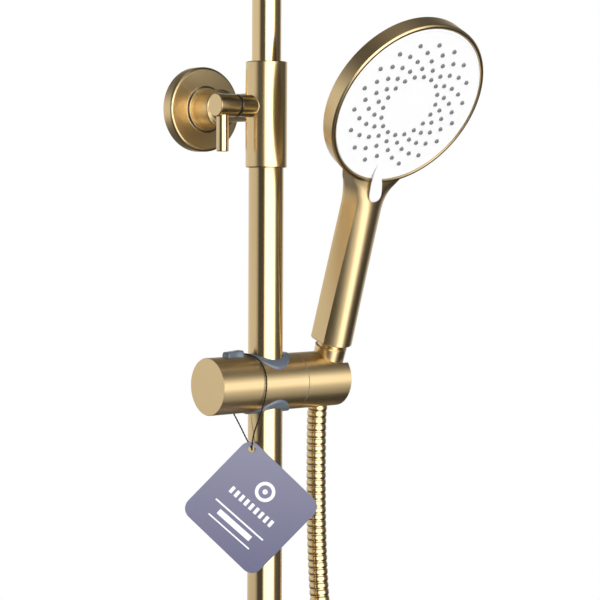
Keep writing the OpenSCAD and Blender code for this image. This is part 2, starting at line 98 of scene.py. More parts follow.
RAIL_Y = -80
TO_LEFT, TO_ROOM = spin(-90, "Y"), spin(90, "X")
RAIL = shift(0, RAIL_Y, 0)
SLIDER_Z, HOLDER_X, LEAN = -189, 52, 18.2
SLIDER = shift(0, RAIL_Y, SLIDER_Z)
HOLDER = shift(HOLDER_X, RAIL_Y, SLIDER_Z) @ spin(LEAN, "X")
HEAD_F, HEAD_W, HEAD_LEAN = 25, 206.4, 13.9
HEAD = HOLDER @ shift(0, -HEAD_F, HEAD_W) @ spin(90 + HEAD_LEAN, "X")


# ---------------------------------------------------------------- materials
BUMP_DEPTH = 0.0002
PLASTIC_GRAIN = 1800


class Nodes:
    """A small helper for building node materials."""

    def __init__(self, name):
        self.material = bpy.data.materials.new(name)
        self.material.use_nodes = True
        self.tree = self.material.node_tree
        self.shader = self.tree.nodes["Principled BSDF"]
        self.coords = self.add("ShaderNodeTexCoord").outputs["Object"]

    def add(self, kind, **values):
        node = self.tree.nodes.new(kind)
        for key, value in values.items():
            setattr(node, key, value)
        return node

    def link(self, a, b):
        self.tree.links.new(a, b)

    def set(self, **values):
        for key, value in values.items():
            self.shader.inputs[key.replace("_", " ")].default_value = value

    def noise(self, scale, detail=3, rough=0.55, stretch=(1, 1, 1)):
        mapping = self.add("ShaderNodeMapping")
        mapping.inputs["Scale"].default_value = stretch
        self.link(self.coords, mapping.inputs["Vector"])
        node = self.add("ShaderNodeTexNoise")
        node.inputs["Scale"].default_value = scale
        node.inputs["Detail"].default_value = detail
        node.inputs["Roughness"].default_value = rough
        self.link(mapping.outputs["Vector"], node.inputs["Vector"])
        return node.outputs["Fac"]

    def span(self, value, low, high, start=0.3, end=0.7):
        node = self.add("ShaderNodeMapRange")
        limits = {"From Min": start, "From Max": end, "To Min": low, "To Max": high}
        for key, number in limits.items():
            node.inputs[key].default_value = number
        self.link(value, node.inputs["Value"])
        return node.outputs["Result"]

    def mix(self, factor, a, b):
        node = self.add("ShaderNodeMix", data_type="RGBA")
        colours = [s for s in node.inputs if s.type == "RGBA"]
        self.link(factor, node.inputs["Factor"])
        for socket, value in zip(colours, (a, b)):
            if isinstance(value, (tuple, list)):
                socket.default_value = (*value, 1)
            else:
                self.link(value, socket)
        return next(s for s in node.outputs if s.type == "RGBA")

    def edge(self, start, end):
        pointy = self.add("ShaderNodeNewGeometry").outputs["Pointiness"]
        return self.span(pointy, 0, 1, start, end)

    def bump(self, height, strength):
        node = self.add("ShaderNodeBump")
        node.inputs["Strength"].default_value = strength
        node.inputs["Distance"].default_value = BUMP_DEPTH
        self.link(height, node.inputs["Height"])
        self.link(node.outputs["Normal"], self.shader.inputs["Normal"])

    def colour(self, value):
        self.link(value, self.shader.inputs["Base Color"])

    def roughness(self, value):
        self.link(value, self.shader.inputs["Roughness"])


def tint(colour, factor):
    return tuple(min(1, c * factor) for c in colour)


GOLD, STEEL_GREY = (0.74, 0.56, 0.302), (0.56, 0.57, 0.58)


def brushed(name, stretch, rough, grain, base=GOLD, turned=""):
    """Satin metal: a fine grain, faint smudges and rubbed edges.

    stretch draws the grain out where its three values differ. turned names the axis of a
    turned surface, whose reflections spread along that axis.
    """
    n = Nodes(name)
    n.set(Metallic=1.0)
    if turned:
        n.set(Anisotropic=0.85, Anisotropic_Rotation=0.25)
        round_axis = n.add("ShaderNodeTangent", direction_type="RADIAL", axis=turned)
        n.link(round_axis.outputs["Tangent"], n.shader.inputs["Tangent"])
    fine = n.noise(1, 3, 0.6, stretch)
    smudge = n.noise(16, 3, 0.6)
    body = n.mix(n.span(fine, 0, 1), tint(base, 0.98), tint(base, 1.02))
    body = n.mix(n.span(smudge, 0, 0.25, 0.45, 0.8), body, tint(base, 0.95))
    n.colour(n.mix(n.edge(0.54, 0.64), body, tint(base, 1.15)))
    total = n.add("ShaderNodeMath", operation="ADD")
    n.link(n.span(fine, rough - 0.02, rough + 0.02), total.inputs[0])
    n.link(n.span(smudge, -0.01, 0.02), total.inputs[1])
    n.roughness(total.outputs[0])
    n.bump(fine, grain)
    return n.material


def plastic(name, base, rough, grain, variation=0.04):
    """Moulded plastic or rubber: a fine cast texture, slight mottling and rubbed edges."""
    n = Nodes(name)
    fine = n.noise(PLASTIC_GRAIN, 2)
    broad = n.noise(35, 4)
    body = n.mix(n.span(broad, 0, 1), tint(base, 1 - variation), tint(base, 1 + variation))
    n.colour(n.mix(n.edge(0.56, 0.66), body, tint(base, 1.08)))
    n.roughness(n.span(broad, rough - 0.03, rough + 0.04))
    n.bump(fine, grain)
    return n.material


GRAIN_Z = brushed("gold_drawn_upright", (900, 900, 900), rough=0.23, grain=0.004, turned="Z")
GRAIN_BARREL = brushed("gold_barrel", (1200, 1200, 1200), rough=0.4, grain=0.003, turned="X")
GRAIN_X = brushed("gold_turned_across", (2500, 2500, 2500), rough=0.26, grain=0.002)
GRAIN_Y = brushed("gold_turned_deep", (2500, 2500, 2500), rough=0.34, grain=0.002)
GRAIN_FINE = brushed("gold_satin", (2500, 2500, 2500), rough=0.3, grain=0.002)
GOLD_COLLAR = brushed("gold_collar", (1300, 1300, 60), rough=0.24, grain=0.008)
GOLD_RISER = brushed("gold_riser", (1500, 1500, 25), rough=0.15, grain=0.006)
GOLD_HANDSET = brushed("gold_handset", (1200, 1200, 60), rough=0.31, grain=0.003)
GOLD_HOSE = brushed("gold_hose", (1200, 1200, 1200), rough=0.24, grain=0.008)
STEEL = brushed("steel_turned", (600, 600, 600), rough=0.28, grain=0.05, base=STEEL_GREY)
WHITE = plastic("white_plastic", (0.9, 0.9, 0.905), 0.42, grain=0.01, variation=0.006)
SLATE = plastic("slate_plastic", (0.125, 0.15, 0.195), 0.26, grain=0.03, variation=0.05)
NOZZLE = plastic("nozzle_rubber", (0.21, 0.215, 0.225), 0.5, grain=0.06)
RUBBER = plastic("seal_rubber", (0.012, 0.012, 0.013), 0.45, grain=0.08)
BLACK = plastic("black_plastic", (0.02, 0.02, 0.022), 0.35, grain=0.05)
GREY = plastic("grey_plastic", (0.22, 0.225, 0.23), 0.45, grain=0.05)
PALE = plastic("inner_plastic", (0.68, 0.68, 0.66), 0.4, grain=0.04)


def card_material(name, top, bottom, low, high):
    """Coated card: a colour that deepens downwards, paper fibre and a soft gloss."""
    n = Nodes(name)
    split = n.add("ShaderNodeSeparateXYZ")
    n.link(n.coords, split.inputs[0])
    down = n.span(split.outputs["Z"], 0, 1, high, low)
    fibre = n.noise(900, 5, 0.7)
    body = n.mix(down, top, bottom)
    n.colour(n.mix(n.span(fibre, 0, 0.12), body, tint(top, 1.25)))
    n.roughness(n.span(fibre, 0.38, 0.5))
    n.bump(fibre, 0.06)
    return n.material


CARD = card_material("tag_card", (0.23, 0.23, 0.325), (0.105, 0.105, 0.2), -0.325, -0.225)
PRINT = plastic("tag_print", (0.86, 0.86, 0.9), 0.45, grain=0.05)


def string_material():
    n = Nodes("string_cotton")
    fibre = n.noise(5000, 3, 0.7)
    n.colour(n.mix(n.span(fibre, 0, 1), (0.002, 0.002, 0.0022), (0.009, 0.009, 0.01)))
    n.roughness(n.span(fibre, 0.6, 0.85))
    n.bump(fibre, 0.3)
    return n.material


STRING = string_material()


# ---------------------------------------------------------------- mesh builders
TINY = 1e-6
SHARP = 32
FILLET_SHARE = 0.49
CURVE_STEPS = 24


def finish_mesh(name, verts, faces, material, sharp):
    """A shaded object from vertices in millimetres, with creases past the sharp angle."""
    mesh = bpy.data.meshes.new(name)
    mesh.from_pydata([Vector(v) * MM for v in verts], [], faces)
    work = bmesh.new()
    work.from_mesh(mesh)
    bmesh.ops.recalc_face_normals(work, faces=work.faces)
    work.to_mesh(mesh)
    work.free()
    mesh.shade_smooth()
    mesh.set_sharp_from_angle(angle=math.radians(sharp))
    mesh.materials.append(material)
    thing = bpy.data.objects.new(name, mesh)
    bpy.context.collection.objects.link(thing)
    return thing


def rounded(corners, steps=5):
    """A profile of (radius, height, fillet) corners as points, each fillet an arc of steps."""
    out = []
    for i, corner in enumerate(corners):
        fillet = corner[2] if len(corner) > 2 else 0
        here = Vector(corner[:2])
        if not fillet or i in (0, len(corners) - 1):
            out.append(tuple(here))
            continue
        a, b = Vector(corners[i - 1][:2]) - here, Vector(corners[i + 1][:2]) - here
        if min(a.length, b.length) < TINY:
            out.append(tuple(here))
            continue
        half = a.angle(b) / 2
        back = min(fillet / math.tan(half), a.length * FILLET_SHARE, b.length * FILLET_SHARE)
        radius = back * math.tan(half)
        a.normalize(), b.normalize()
        centre = here + (a + b).normalized() * (radius / math.sin(half))
        start, end = here + a * back - centre, here + b * back - centre
        for k in range(steps + 1):
            t = k / steps
            arc = (start * (1 - t) + end * t).normalized() * radius
            out.append(tuple(centre + arc))
    return out


class Build:
    """Gathers vertices and faces for one piece."""

    def __init__(self):
        self.verts, self.faces = [], []

    def add(self, verts, faces, place=None):
        base = len(self.verts)
        self.verts += [place @ Vector(v) if place else Vector(v) for v in verts]
        self.faces += [[base + i for i in f] for f in faces]
        return self

    def lathe(self, profile, place, sides=96, closed=False):
        """Turns a profile of (radius, height) about local Z."""
        verts, rings = [], []
        for r, z in profile:
            if r < TINY:
                rings.append([len(verts)] * sides)
                verts.append((0, 0, z))
                continue
            ring = []
            for k in range(sides):
                a = math.tau * k / sides
                ring.append(len(verts))
                verts.append((r * math.cos(a), r * math.sin(a), z))
            rings.append(ring)
        faces = []
        count = len(rings)
        for i in range(count if closed else count - 1):
            a, b = rings[i], rings[(i + 1) % count]
            for k in range(sides):
                m = (k + 1) % sides
                face = []
                for v in (a[k], a[m], b[m], b[k]):
                    if v not in face:
                        face.append(v)
                if len(face) > 2:
                    faces.append(face)
        return self.add(verts, faces, place)

    def loft(self, rings, closed=False):
        """Joins rings of equal size into a skin, with flat ends unless it closes on itself."""
        size = len(rings[0])
        verts = [v for ring in rings for v in ring]
        faces = []
        for i in range(len(rings) - (0 if closed else 1)):
            j = (i + 1) % len(rings)
            for k in range(size):
                m = (k + 1) % size
                faces.append([i * size + k, i * size + m, j * size + m, j * size + k])
        if not closed:
            faces.append(list(range(size))[::-1])
            faces.append([(len(rings) - 1) * size + k for k in range(size)])
        return self.add(verts, faces)

    def made(self, name, material, sharp=SHARP):
        return finish_mesh(name, self.verts, self.faces, material, sharp)


def smooth_route(points, step):
    """A smooth curve through the points, sampled about every step."""
    p = [Vector(q) for q in points]
    p = [2 * p[0] - p[1], *p, 2 * p[-1] - p[-2]]
    dense = []
    for i in range(1, len(p) - 2):
        for k in range(CURVE_STEPS):
            t = k / CURVE_STEPS
            dense.append(0.5 * (
                2 * p[i] + (p[i + 1] - p[i - 1]) * t
                + (2 * p[i - 1] - 5 * p[i] + 4 * p[i + 1] - p[i + 2]) * t ** 2
                + (3 * p[i] - p[i - 1] - 3 * p[i + 1] + p[i + 2]) * t ** 3))
    dense.append(p[-2])
    along = [0]
    for a, b in zip(dense, dense[1:]):
        along.append(along[-1] + (b - a).length)
    count = max(2, round(along[-1] / step))
    out, j = [], 0
    for i in range(count + 1):
        at = along[-1] * i / count
        while j < len(along) - 2 and along[j + 1] < at:
            j += 1
        t = (at - along[j]) / (along[j + 1] - along[j])
        out.append(dense[j].lerp(dense[j + 1], min(1, t)))
    return out


def sections(route):
    """Two cross directions at each point of a route, carried along without twist."""
    out, side = [], Vector((1, 0, 0))
    for i, p in enumerate(route):
        ahead = (route[min(i + 1, len(route) - 1)] - route[max(i - 1, 0)]).normalized()
        side = (side - ahead * side.dot(ahead)).normalized()
        out.append((side, ahead.cross(side)))
    return out


def tube_rings(route, radius, sides):
    """Rings round a route. radius is a function of the ring's index and angle."""
    rings = []
    for i, (p, (u, v)) in enumerate(zip(route, sections(route))):
        ring = []
        for k in range(sides):
            a = math.tau * k / sides
            ring.append(p + radius(i, a) * (math.cos(a) * u + math.sin(a) * v))
        rings.append(ring)
    return rings


def rides(thing, body, slot, *nodes):
    """Puts a piece on its body, in place of the CAD nodes named; its slot is not used."""
    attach(thing, body)
    if nodes:
        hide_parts(*nodes)
    return thing


# ---------------------------------------------------------------- hose
HOSE_R, HOSE_PITCH, HOSE_SIDES = 7.0, 4.9, 28
# Heights where the hose is cut from one length to the next
SWIVEL_CUT, TILT_CUT, CONE_CUT, CONE_END = -520, -402, -292, -212
LOOP_TOP = -1000
HOSE_ROUTE = [
    (-75.57, -202.5), (-73.1, -210), (-72.2, -222), (-72, -245), (-72.2, -270),
    (-72.8, -295), (-74.2, -320), (-76.6, -345), (-81, -375), (-87, -410),
    (-94, -445), (-101, -480), (-108, -520), (-114, -560), (-119, -600),
    (-123, -640), (-126, -680), (-128, -720), (-130, -760), (-132, -800),
    (-134, -840), (-136, -880), (-139, -920), (-143, -960), (-147, -1000),
    (-151, -1040), (-155, -1080), (-157, -1120), (-156, -1160), (-147, -1190),
    (-128, -1212), (-101, -1220), (-74, -1212), (-55, -1190), (-46, -1160),
    (-45, -1120), (-49, -1080), (-56, -1040), (-64, -1000), (-72, -965),
    (-78, -935), (-79.7, -924), (-80, -918), (-80, -914.02),
]
# One interlocked turn of the strip: a rounded band, then a narrow groove
HOSE_TURN = [6.36, 6.84, 6.98, HOSE_R, 6.99, 6.94, 6.8, 6.5]
HOSE_STEPS = len(HOSE_TURN)


def hose_piece(name, route):
    rings = tube_rings(route, lambda i, a: HOSE_TURN[i % HOSE_STEPS], HOSE_SIDES)
    return Build().loft(rings).made(name, GOLD_HOSE, 60)


def build_hose():
    """Four lengths of one hose, end to end."""
    full = smooth_route([(HOLDER_X, y, z) for y, z in HOSE_ROUTE], HOSE_PITCH / HOSE_STEPS)
    full.reverse()
    top_leg = next(i for i in range(len(full) - 1, 0, -1) if full[i].z < LOOP_TOP)

    def ring_at(z):
        i = min(range(top_leg, len(full)), key=lambda k: abs(full[k].z - z))
        return i - i % HOSE_STEPS

    cuts = [0, ring_at(SWIVEL_CUT), ring_at(TILT_CUT), ring_at(CONE_CUT), len(full) - 1]
    names = ["hose_long", "hose_swivel", "hose_tilt", "hose_end"]
    # The long length's zone leans outwards
    zones = [
        ((HOLDER_X, 0, -714), (HOLDER_X, -159, -650.4)),
        ((0, 0, SWIVEL_CUT + 5), (0, 0, TILT_CUT - 6)),
        ((0, 0, TILT_CUT + 4), (0, 0, CONE_CUT - 6)),
        ((0, 0, CONE_CUT + 4), (0, 0, CONE_END)),
    ]
    for i, name in enumerate(names):
        route = full[cuts[i]:cuts[i + 1] + 1]
        piece = hose_piece(name, route)
        start, end = (Vector(p) * MM for p in zones[i])
        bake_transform(piece)
        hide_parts("hose")


build_hose()

# ---------------------------------------------------------------- tag string
STRING_ROUTE = [
    (-15.1, -85.0, -233.6), (-16.3, -86.4, -233.2), (-17.2, -88, -229.5), (-18, -90.5, -223),
    (-17.8, -93.5, -216), (-17, -96.5, -209), (-16, -99, -201), (-15.4, -100.6, -194),
    (-14.9, -100.8, -188), (-14.5, -99.8, -182), (-14.4, -97, -176.8), (-15, -92.2, -171.8),
    (-16.7, -86, -168.9), (-17.8, -80, -168.2), (-17.9, -74, -168.9), (-18.2, -68, -171.8),
    (-18.8, -63, -176.8), (-19.4, -60.2, -182), (-19.8, -59.1, -188), (-19.8, -59.4, -194),
    (-19.5, -61.4, -200), (-19, -64.8, -205.5), (-18.6, -69, -210.5), (-18.4, -73.5, -215.5),
    (-18, -77.5, -220.5), (-16.8, -80.5, -226), (-15, -82.8, -231), (-14.6, -84.4, -233.2),
]
STRING_R, STRING_STEP, STRING_TWIST, STRING_SIDES = 0.55, 0.35, 0.9, 12


def build_string():
    """Two twisted strands in one loop through the card's hole, drawn as an oval that turns."""
    route = smooth_route(STRING_ROUTE, STRING_STEP)

    def strand(i, a):
        return STRING_R * (0.86 + 0.14 * math.cos(2 * a - i * STRING_TWIST))

    rings = tube_rings(route, strand, STRING_SIDES)
    piece = Build().loft(rings).made("tag_string_twisted", STRING, 180)
    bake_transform(piece)
    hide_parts("tag_string")


build_string()


# ---------------------------------------------------------------- wall bracket, collar and lock
def turned(name, corners, place, material, body, slot, *nodes, closed=False, sides=96):
    """A whole piece turned from one profile."""
    build = Build().lathe(rounded(corners), place, sides, closed)
    return rides(build.made(name, material), body, slot, *nodes)


COLLAR_R, BOSS_R, BOSS_FILLET = 14.15, 7.5, 0.4
BOSS_SIDES, BOSS_STEPS = 72, 8
SEAL_R, SEAL_WIRE, SEAL_X = 6.36, 0.92, -25.96


def circle(radius, sides, centre=0):
    """Points of a circle whose centre lies that far along the first axis."""
    turns = [math.tau * k / sides for k in range(sides)]
    return [(centre + radius * math.cos(a), radius * math.sin(a)) for a in turns]


def build_bracket():
    turned("flange_cover", [
        (28.4, 0), (30, 0), (30, 9.5, 2.2), (16.4, 9.5, 0.9), (15.2, 11.4, 0.8),
        (13.2, 11.4, 0), (13.2, 7.9, 0), (27.6, 7.9, 0), (28.4, 7.1)],
        TO_ROOM, GRAIN_FINE, "column", "gold_brass", "wall_flange")
    arm = Build().lathe(rounded([
        (8.1, 4.6), (13.5, 4.6, 0.3), (13.5, 29.2, 1.1), (10.9, 30.2, 0.8), (9.7, 31.4, 0.8),
        (9.7, 68), (0, 68)]), TO_ROOM)
    rides(arm.made("bracket_arm_turned", GRAIN_Y), "column", "gold_brass", "bracket_arm")
    collar = Build().lathe(rounded([
        (10.2, 26), (10.2, 30.5, 0.2), (COLLAR_R, 30.5, 0.8), (COLLAR_R, -41.5, 0.9),
        (12.06, -41.5, 0.2), (12.06, -38)]), RAIL, 128)
    boss = [[BOSS_R - 2.1, 26.8], [BOSS_R - 2.1, 24.9], [BOSS_R - 0.4, 24.9], [BOSS_R, 24.5]]
    around = circle(1, BOSS_SIDES)
    rings = [[RAIL @ TO_LEFT @ Vector((r * c, r * v, h)) for c, v in around] for r, h in boss]
    for k in range(BOSS_STEPS + 1):
        turn = math.radians(90 * k / BOSS_STEPS)
        r = BOSS_R + BOSS_FILLET * (1 - math.cos(turn))
        rise = BOSS_FILLET * (1 - math.sin(turn)) - 0.1
        # The boss's local Y lies across the collar, so the collar's surface falls away along it
        rings.append([
            RAIL @ TO_LEFT @ Vector((r * c, r * v, math.sqrt(COLLAR_R ** 2 - (r * v) ** 2) + rise))
            for c, v in around])
    collar.loft(rings)
    rides(collar.made("collar_turned", GOLD_COLLAR), "column", "gold_brass", "collar")


def build_lock():
    turned("lock_knob_turned", [
        (3.1, 27), (7.2, 27, 0.3), (7.7, 27.5, 0.2), (7.7, 42.6, 0.35), (7.3, 43, 0.2), (0, 43)],
        RAIL @ TO_LEFT, GRAIN_X, "lock", "gold_brass", "lock_knob")
    turned("lock_pin_turned", [
        (0, 3.4), (4.15, 3.4), (4.15, 30.5, 0.4), (3.6, 31, 0.3), (0, 31)],
        RAIL @ shift(-37, 0, 0) @ spin(180, "X"), GRAIN_Z, "lock", "gold_brass", "lock_pin")
    place = RAIL @ shift(SEAL_X, 0, 0) @ TO_LEFT
    seal = Build().lathe(circle(SEAL_WIRE, 20, SEAL_R), place, 64, True)
    rides(seal.made("lock_seal", RUBBER), "column", "seal_rubber", "lock_o_ring")


# ---------------------------------------------------------------- tubes
RAIL_R, RAIL_BORE, RAIL_TOP, RAIL_FOOT, RAIL_LIP = 12, 10.5, -20, -832, 3
RISER_R, RISER_BORE, RISER_FOOT, RISER_SIDES = 10.0, 8.8, -260, 96
HEAD_Y, ARM_Z, BEND_BACK, BEND_FRONT, ARM_END = -460, 400, 80, 40, 345


def arc(centre, radius, start, end, steps):
    """Points of an arc in the plane x = 0, by angle from +Y towards +Z."""
    turns = [math.radians(start + (end - start) * k / steps) for k in range(steps + 1)]
    return [
        Vector((0, centre[0] + radius * math.cos(a), centre[1] + radius * math.sin(a)))
        for a in turns]


def build_tubes():
    turned("rail_tube", [
        (RAIL_BORE, RAIL_FOOT), (RAIL_R + 1, RAIL_FOOT), (RAIL_R + 1, RAIL_FOOT + RAIL_LIP, 0.3),
        (RAIL_R, RAIL_FOOT + RAIL_LIP), (RAIL_R, RAIL_TOP, 0.3), (RAIL_BORE, RAIL_TOP)],
        RAIL, GRAIN_Z, "column", "gold_brass", "rail", closed=True, sides=128)
    route = [Vector((0, RAIL_Y, RISER_FOOT))]
    route += arc((RAIL_Y - BEND_BACK, ARM_Z - BEND_BACK), BEND_BACK, 0, 90, 40)
    route += arc((HEAD_Y + BEND_FRONT, ARM_Z - BEND_FRONT), BEND_FRONT, 90, 180, 32)
    route.append(Vector((0, HEAD_Y, ARM_END)))
    outer = tube_rings(route, lambda i, a: RISER_R, RISER_SIDES)
    inner = tube_rings(route, lambda i, a: RISER_BORE, RISER_SIDES)
    tube = Build().loft(outer + inner[::-1], closed=True)
    rides(tube.made("riser_bent_tube", GOLD_RISER), "riser", "gold_brass", "riser_tube")


# ---------------------------------------------------------------- handset
BOW_STEPS, SIDE_STEPS = 16, 7


def handle_section(width, back, front, bow_front, bow_back):
    """One section of the handle, as (across, forward) points: crisp front edges, softer back."""
    pts, half = [], width / 2
    for k in range(BOW_STEPS + 1):
        across = math.cos(math.pi * k / BOW_STEPS)
        pts.append((half * across, front + bow_front * (1 - abs(across) ** 2.1)))
    for k in range(1, SIDE_STEPS):
        pts.append((-half, front + (back - front) * k / SIDE_STEPS))
    for k in range(BOW_STEPS + 1):
        a = math.pi + math.pi * k / BOW_STEPS
        pts.append((half * math.cos(a), back - bow_back * abs(math.sin(a)) ** 0.8))
    for k in range(1, SIDE_STEPS):
        pts.append((half, back + (front - back) * k / SIDE_STEPS))
    return pts


def blend_at(table, w):
    """Linear reading of a table of rows, each led by its height."""
    for a, b in zip(table, table[1:]):
        if w <= b[0]:
            t = max(0, (w - a[0]) / (b[0] - a[0]))
            return [x + (y - x) * t for x, y in zip(a[1:], b[1:])]
    return list(table[-1][1:])


# height, width, back, front, front bow, back bow
HANDLE = [
    (28.5, 24.6, -7.0, 5.4, 8.3, 2.2), (29.3, 26, -7.8, 6, 8.8, 2.8),
    (60, 25.1, -8, 6.3, 7.8, 2.8), (100, 23.7, -8.3, 6.9, 6.2, 2.8),
    (128, 22.6, -8.5, 7.4, 4.9, 2.8), (134, 23.4, -8.5, 7.5, 4.6, 2.9),
    (139, 26.0, -8.1, 7.8, 4.2, 2.9), (143, 29.5, -7.2, 8.2, 3.6, 2.6),
    (147, 36, -5.4, 8.6, 2.6, 2.2), (151, 43, -2.6, 8.8, 1.6, 1.6),
    (155, 48, -0.4, 8.9, 0.8, 1.0), (159, 52, 1.5, 9.0, 0.4, 0.5),
]
HANDLE_FOOT, HANDLE_STEP, HANDLE_ROWS = 29.3, 2.2, 59


def build_handset():
    shell = Build()
    rings = []
    heights = [28.5, 28.8] + [HANDLE_FOOT + HANDLE_STEP * k for k in range(HANDLE_ROWS)]
    for w in heights:
        section = handle_section(*blend_at(HANDLE, w))
        rings.append([HOLDER @ Vector((x, -f, w)) for x, f in section])
    shell.loft(rings)
    shell.lathe(rounded([
        (0, -19.5), (22, -19.2, 30), (44, -17.2, 30), (56.5, -14.4, 12), (60.3, -12.4, 1.4),
        (60.7, -1.0, 0.9), (59.6, 0, 0.5), (58.2, 0, 0.4), (57.7, -0.9, 0.3), (57.7, -9), (0, -9),
    ], 8), HEAD, 160)
    body = shell.made("handset_body", GOLD_HANDSET, 26)
    rides(body, "handset", "gold_plated_plastic", "handset_shell")
    turned("handset_tail_turned", [(6, 17.6), (9.9, 17.6, 0.3), (9.9, 29), (6, 29)],
           HOLDER, GRAIN_FINE, "handset", "gold_brass", "handset_tail", closed=True, sides=64)
    build_face()


NOZZLE_RINGS, NOZZLE_ARMS = 5, 18
SWIRL_R, SWIRL_STEP, SWIRL_START = 22.3, 5.95, 5


def nozzle_places():
    """Five staggered rings of eighteen nozzles round a blank middle; the lever covers one."""
    between = 360 / NOZZLE_ARMS
    for ring in range(NOZZLE_RINGS):
        for arm in range(NOZZLE_ARMS):
            radius = SWIRL_R + SWIRL_STEP * ring
            angle = math.radians(between * arm + between / 2 * ring + SWIRL_START)
            x, y = radius * math.cos(angle), radius * math.sin(angle)
            under_lever = y < -45 and abs(x + 4) < 4
            if not under_lever:
                yield x, y


def build_face():
    turned("face_plate_white", [
        (0, -1.9), (57.4, -1.9), (57.4, -0.6, 0.4), (56.6, -0.25, 0.4), (55.2, -0.5, 0.6),
        (0, -0.35)], HEAD, WHITE, "spray_face", "white_plastic", "spray_face", sides=160)
    nozzles = Build()
    nozzle = rounded([
        (1.75, -1.2), (1.6, -0.3, 0.3), (1.25, 0.55, 0.35), (0.6, 0.65, 0.1), (0.5, -0.2), (0, -0.2)], 3)
    for x, y in nozzle_places():
        nozzles.lathe(nozzle, HEAD @ shift(x, y, 0), 18)
    rides(nozzles.made("face_nozzles", NOZZLE), "spray_face", "nozzle_rubber", "spray_nozzles")
    build_lever()


# share of the length, half width, underside, top
LEVER = [
    (0, 0.15, -0.28, 0.1), (0.06, 1.0, -0.25, 0.7), (0.18, 2.2, -0.2, 1.7), (0.35, 3.6, 0.3, 3.0),
    (0.55, 4.7, 1.6, 4.4), (0.75, 5.2, 3.0, 5.6), (0.88, 5.0, 3.7, 6.2), (0.96, 3.6, 4.0, 6.2),
    (1.0, 1.6, 4.4, 5.8),
]
LEVER_TIP, LEVER_END = Vector((-5.9, -44.2)), Vector((-1.6, -72))
SQUARENESS = 0.8


def build_lever():
    """The selector lever: a teardrop that rises from a point on the face, ending past the rim."""
    along = (LEVER_END - LEVER_TIP).normalized()
    across = Vector((-along.y, along.x))
    rings = []
    for t, half, low, high in LEVER:
        centre = LEVER_TIP.lerp(LEVER_END, t)
        ring = []
        for c, s in circle(1, 24):
            side = centre + across * (half * math.copysign(abs(c) ** SQUARENESS, c))
            rise = (high - low) / 2 * math.copysign(abs(s) ** SQUARENESS, s)
            ring.append(HEAD @ Vector((side.x, side.y, (low + high) / 2 + rise)))
        rings.append(ring)
    lever = Build().loft(rings).made("selector_lever", WHITE, 50)
    smoother = lever.modifiers.new("smooth", "SUBSURF")
    smoother.levels = smoother.render_levels = 2
    rides(lever, "spray_face", "white_plastic", "spray_lever")


# ---------------------------------------------------------------- slider, button and tag
BUTTON_LEFT, BUTTON_RIGHT, BUTTON_HALF = -34, -21, 4.1
BUTTON_FOOT, BUTTON_TOP, BUTTON_STEPS = 12, 23.6, 16
BUTTON_X = (BUTTON_LEFT + BUTTON_RIGHT) / 2
COIL_R, COIL_WIRE, COIL_TURNS, COIL_LOW, COIL_HIGH = 3.5, 0.45, 6, 2.5, 11.5
COIL_STEPS, COIL_KEEP = 28, 0.69


def build_button():
    """The slider's push button: a hollowed front, softened rim and a top that leans back."""
    rings = []
    for k in range(BUTTON_STEPS + 1):
        t = k / BUTTON_STEPS
        x = BUTTON_LEFT + (BUTTON_RIGHT - BUTTON_LEFT) * t
        edge = min(1, min(t, 1 - t) * BUTTON_STEPS) ** 0.5
        hollow = 1.3 * math.sin(math.pi * t)
        top = BUTTON_TOP - 1.1 * (1 - t) - 0.7 * (1 - edge)
        front = -BUTTON_HALF + hollow + 0.5 * (1 - edge)
        back = BUTTON_HALF - 0.5 * (1 - edge)
        ring = [
            (front, BUTTON_FOOT), (front, 19), (front + 0.1, top - 0.8), (front + 0.5, top - 0.2),
            (front + 1.2, top), (back - 1.2, top), (back - 0.4, top - 0.3), (back, top - 1.2),
            (back, BUTTON_FOOT)]
        rings.append([SLIDER @ Vector((x, y, z)) for y, z in ring])
    piece = Build().loft(rings).made("push_button", SLATE, 50)
    rides(piece, "slider_button", "slate_plastic", "slider_button")


def build_button_spring():
    """The coil under the button."""
    route = []
    for k in range(COIL_TURNS * COIL_STEPS + 1):
        t = k / (COIL_TURNS * COIL_STEPS)
        a = math.tau * COIL_TURNS * t
        z = COIL_LOW + (COIL_HIGH - COIL_LOW) * t
        route.append(SLIDER @ Vector((BUTTON_X + COIL_R * math.cos(a), COIL_R * math.sin(a), z)))
    rings = tube_rings(route, lambda i, a: COIL_WIRE, 10)
    piece = Build().loft(rings).made("button_coil", STEEL, 180)
    rides(piece, "slider", "steel", "button_spring")
    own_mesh(piece)


def build_tag_print():
    """Generic white marks on the card: a ring, a dot and a few bars."""
    turn = RAIL @ spin(-38.6, "Z") @ shift(-9.2, -13.5, -273.4) @ TO_ROOM @ spin(-41.5, "Z")
    marks = Build()
    back, front = 0.41, 0.45
    box_faces = [
        [0, 1, 2, 3], [4, 5, 6, 7], [0, 1, 5, 4], [1, 2, 6, 5], [2, 3, 7, 6], [3, 0, 4, 7]]

    def bar(x0, x1, y0, y1):
        outline = ((x0, y0), (x1, y0), (x1, y1), (x0, y1))
        marks.add([(x, y, f) for f in (back, front) for x, y in outline], box_faces, turn)

    def ring(inner, outer):
        profile = [(inner, back), (outer, back), (outer, front), (inner, front)]
        marks.lathe(profile, turn @ shift(0, 14.5, 0), 64, True)

    ring(4.6, 7)
    ring(0.3, 1.8)
    dash, pitch, left = 2.4, 4.4, -19
    for k in range(9):
        bar(left + pitch * k, left + dash + pitch * k, -1.8, 3.2)
    bar(-22, 21, -12, -10.8)
    bar(-15, 14, -18.5, -14.5)
    bar(-19, 18, -22.8, -21.8)
    rides(marks.made("tag_marks", PRINT), "tag", "tag_card")


build_bracket()
build_lock()
build_tubes()
build_handset()
build_button()
build_button_spring()
build_tag_print()

